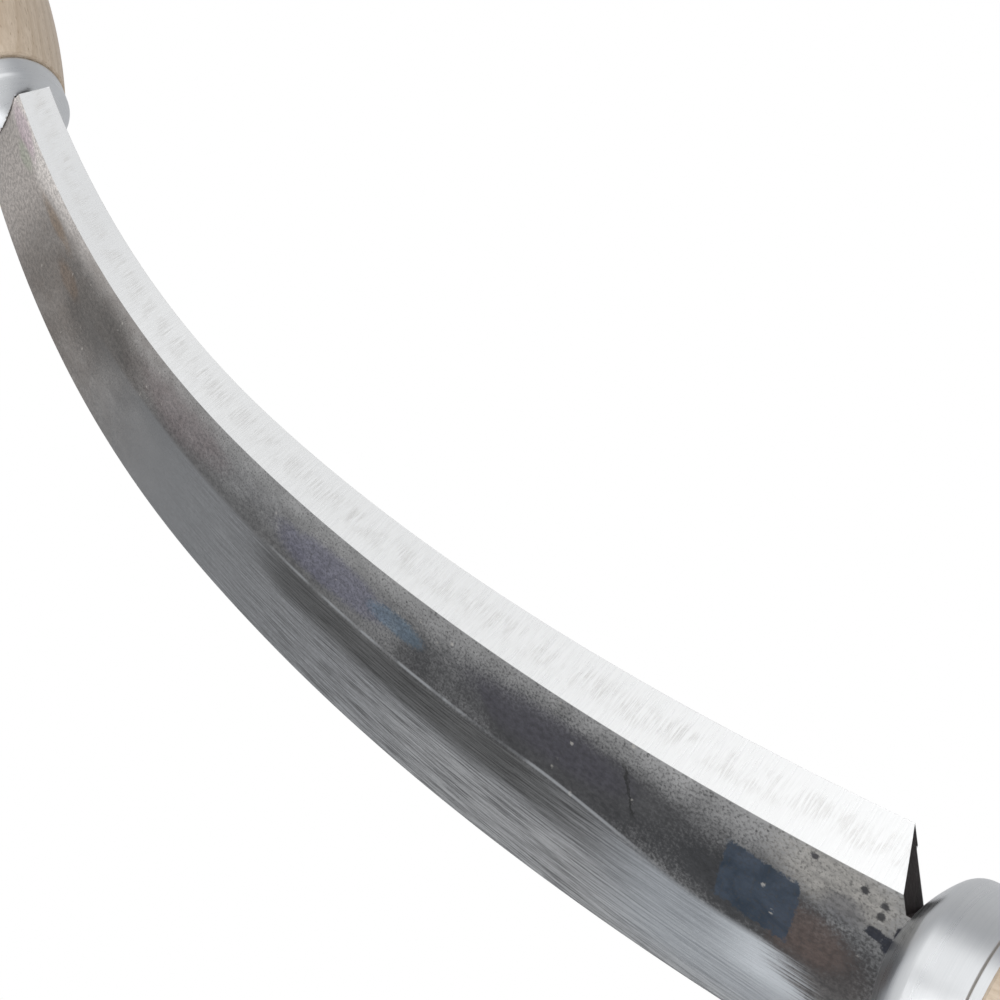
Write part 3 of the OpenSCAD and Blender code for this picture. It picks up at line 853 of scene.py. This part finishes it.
grain_start = {"left": Vector((0, 4.0, 60.0)), "right": Vector((0, 0, 0))}
for side in ("left", "right"):
    grip = turned("handle_grip_" + side, handle_profile, side, crease=0.45)
    to_handle = end_place(side).inverted()
    grain = grip.data.attributes.new("grain", "FLOAT_VECTOR", "POINT")
    for vert, mark in zip(grip.data.vertices, grain.data):
        mark.vector = to_handle @ vert.co + grain_start[side]
    grip.data.materials.append(handle_wood)
    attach(grip, "root")
    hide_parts("handle_" + side)

# ---- Rivet washers -----------------------------------------------------------------
# A punched steel washer is let half its thickness into each butt, and spreads the pull
# of the rivet head over the end grain. Its corners are filed off.

washer_t = 1.6
washer_r = 6.5
corner = 0.4
under_corner = 0.15
washer_profile = [(washer_x, stub_bore_r), (washer_x, washer_r - under_corner),
                  (washer_x + under_corner, washer_r)]
washer_profile += arc(washer_x + washer_t - corner, washer_r - corner, corner, 90, 0, 6)
washer_profile += [(washer_x + washer_t, stub_bore_r), (washer_x, stub_bore_r)]

washer_steel, tree, steel = new_material("filed washer steel")
lay = put(tree, "ShaderNodeAttribute", attribute_name="lay").outputs["Vector"]
where = put(tree, "ShaderNodeTexCoord").outputs["Object"]
in_mm = scaled(tree, where, PER_METRE)
file_marks = group_in(tree, tool_marks, {"Place": in_mm, "Fineness": (0.5, 0.5, 5.0), "Patch Size": 3.0})
dull_spots = group_in(tree, mottle, {"Place": in_mm, "Blotch Size": 3.0, "Grain Size": 0.4})
base = tinted_rgba(tree, file_marks.outputs["Lines"], grey(0.26), grey(0.46))
base = tinted_rgba(tree, maths(tree, "MULTIPLY", dull_spots.outputs["Blotches"], 0.5), base,
                   grey(0.20, (1.06, 1.0, 0.94)))
tree.links.new(base, steel.inputs["Base Color"])
steel.inputs["Metallic"].default_value = 1.0
tree.links.new(maths(tree, "ADD", 0.36, maths(tree, "MULTIPLY", dull_spots.outputs["Grains"], 0.2)),
               steel.inputs["Roughness"])
bump = put(tree, "ShaderNodeBump",
           {"Height": file_marks.outputs["Lines"], "Strength": 0.4, "Distance": 0.00006})
tree.links.new(bump.outputs["Normal"], steel.inputs["Normal"])

for side in ("left", "right"):
    washer = turned("rivet_washer_" + side, washer_profile, side, crease=0.45)
    washer.data.materials.append(washer_steel)
    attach(washer, "root")
    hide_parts("tang_washer_" + side)

# ---- Studio ------------------------------------------------------------------------
# A wide table well below the tool, white to the camera and pale grey in reflections, big
# soft lamps round it, and the camera close over the right-hand end, looking down the curve.

floor_mesh = bpy.data.meshes.new("floor")
floor_half = 8.0
floor_z = -0.60
floor_corners = [(x * floor_half, y * floor_half, floor_z)
                 for x, y in ((-1, -1), (1, -1), (1, 1), (-1, 1))]
floor_mesh.from_pydata(floor_corners, [], [(0, 1, 2, 3)])
floor = bpy.data.objects.new("floor", floor_mesh)
bpy.context.scene.collection.objects.link(floor)
floor_white, tree, paint = new_material("lit white table")
paint.inputs["Base Color"].default_value = (0.64, 0.64, 0.645, 1)
paint.inputs["Roughness"].default_value = 0.9
lit = put(tree, "ShaderNodeEmission", {"Color": (1, 1, 1, 1), "Strength": 1.0})
seen = put(tree, "ShaderNodeLightPath").outputs["Is Camera Ray"]
either = tree.nodes.new("ShaderNodeMixShader")
tree.links.new(seen, either.inputs[0])
tree.links.new(paint.outputs[0], either.inputs[1])
tree.links.new(lit.outputs[0], either.inputs[2])
tree.links.new(either.outputs[0], tree.nodes["Material Output"].inputs["Surface"])
floor.data.materials.append(floor_white)


def softbox(name, at, aim, width, height, power, tint=(1, 1, 1)):
    """A rectangular area lamp, turned to face a point."""
    lamp = bpy.data.lights.new(name, "AREA")
    lamp.shape = "RECTANGLE"
    lamp.size, lamp.size_y = width, height
    lamp.energy = power
    lamp.color = tint
    made = bpy.data.objects.new(name, lamp)
    made.location = at
    made.rotation_euler = (Vector(aim) - Vector(at)).to_track_quat("-Z", "Y").to_euler()
    bpy.context.scene.collection.objects.link(made)


softbox("lamp_over_edge", (-0.20, 0.80, 0.74), (0, 0, 0), 0.95, 0.8, 0.95)
softbox("lamp_over_spine", (0.45, -0.95, 0.75), (0, 0, 0), 0.9, 0.7, 2.2, (0.92, 0.97, 1.0))
softbox("lamp_low_behind_spine", (0.55, -0.95, 0.24), (-0.1, 0, 0), 0.9, 0.45, 1.1)
softbox("lamp_high", (0.15, 0.05, 1.5), (0, 0, 0), 0.8, 0.8, 5.0)

world = bpy.data.worlds.new("studio")
world.use_nodes = True
bpy.context.scene.world = world
sky = world.node_tree
way = put(sky, "ShaderNodeTexCoord").outputs["Generated"]
rise = put(sky, "ShaderNodeSeparateXYZ", {"Vector": way}).outputs["Z"]
glow = tinted_rgba(sky, eased_mask(sky, rise, -0.05, 0.60), (0.46, 0.47, 0.49, 1), (0.84, 0.85, 0.86, 1))
glow = tinted_rgba(sky, put(sky, "ShaderNodeLightPath").outputs["Is Camera Ray"], glow, (1, 1, 1, 1))
sky.links.new(glow, sky.nodes["Background"].inputs["Color"])

lens = bpy.data.cameras.new("camera")
lens.sensor_width = 36.0
lens.lens = 43.685
lens.clip_start = 0.01
camera = bpy.data.objects.new("camera", lens)
camera.location = (0.14238, 0.07075, 0.10524)
camera.rotation_euler = [math.radians(a) for a in (5.149, 44.416, 32.775)]
bpy.context.scene.collection.objects.link(camera)
bpy.context.scene.camera = camera
bpy.context.scene.view_settings.view_transform = "Standard"
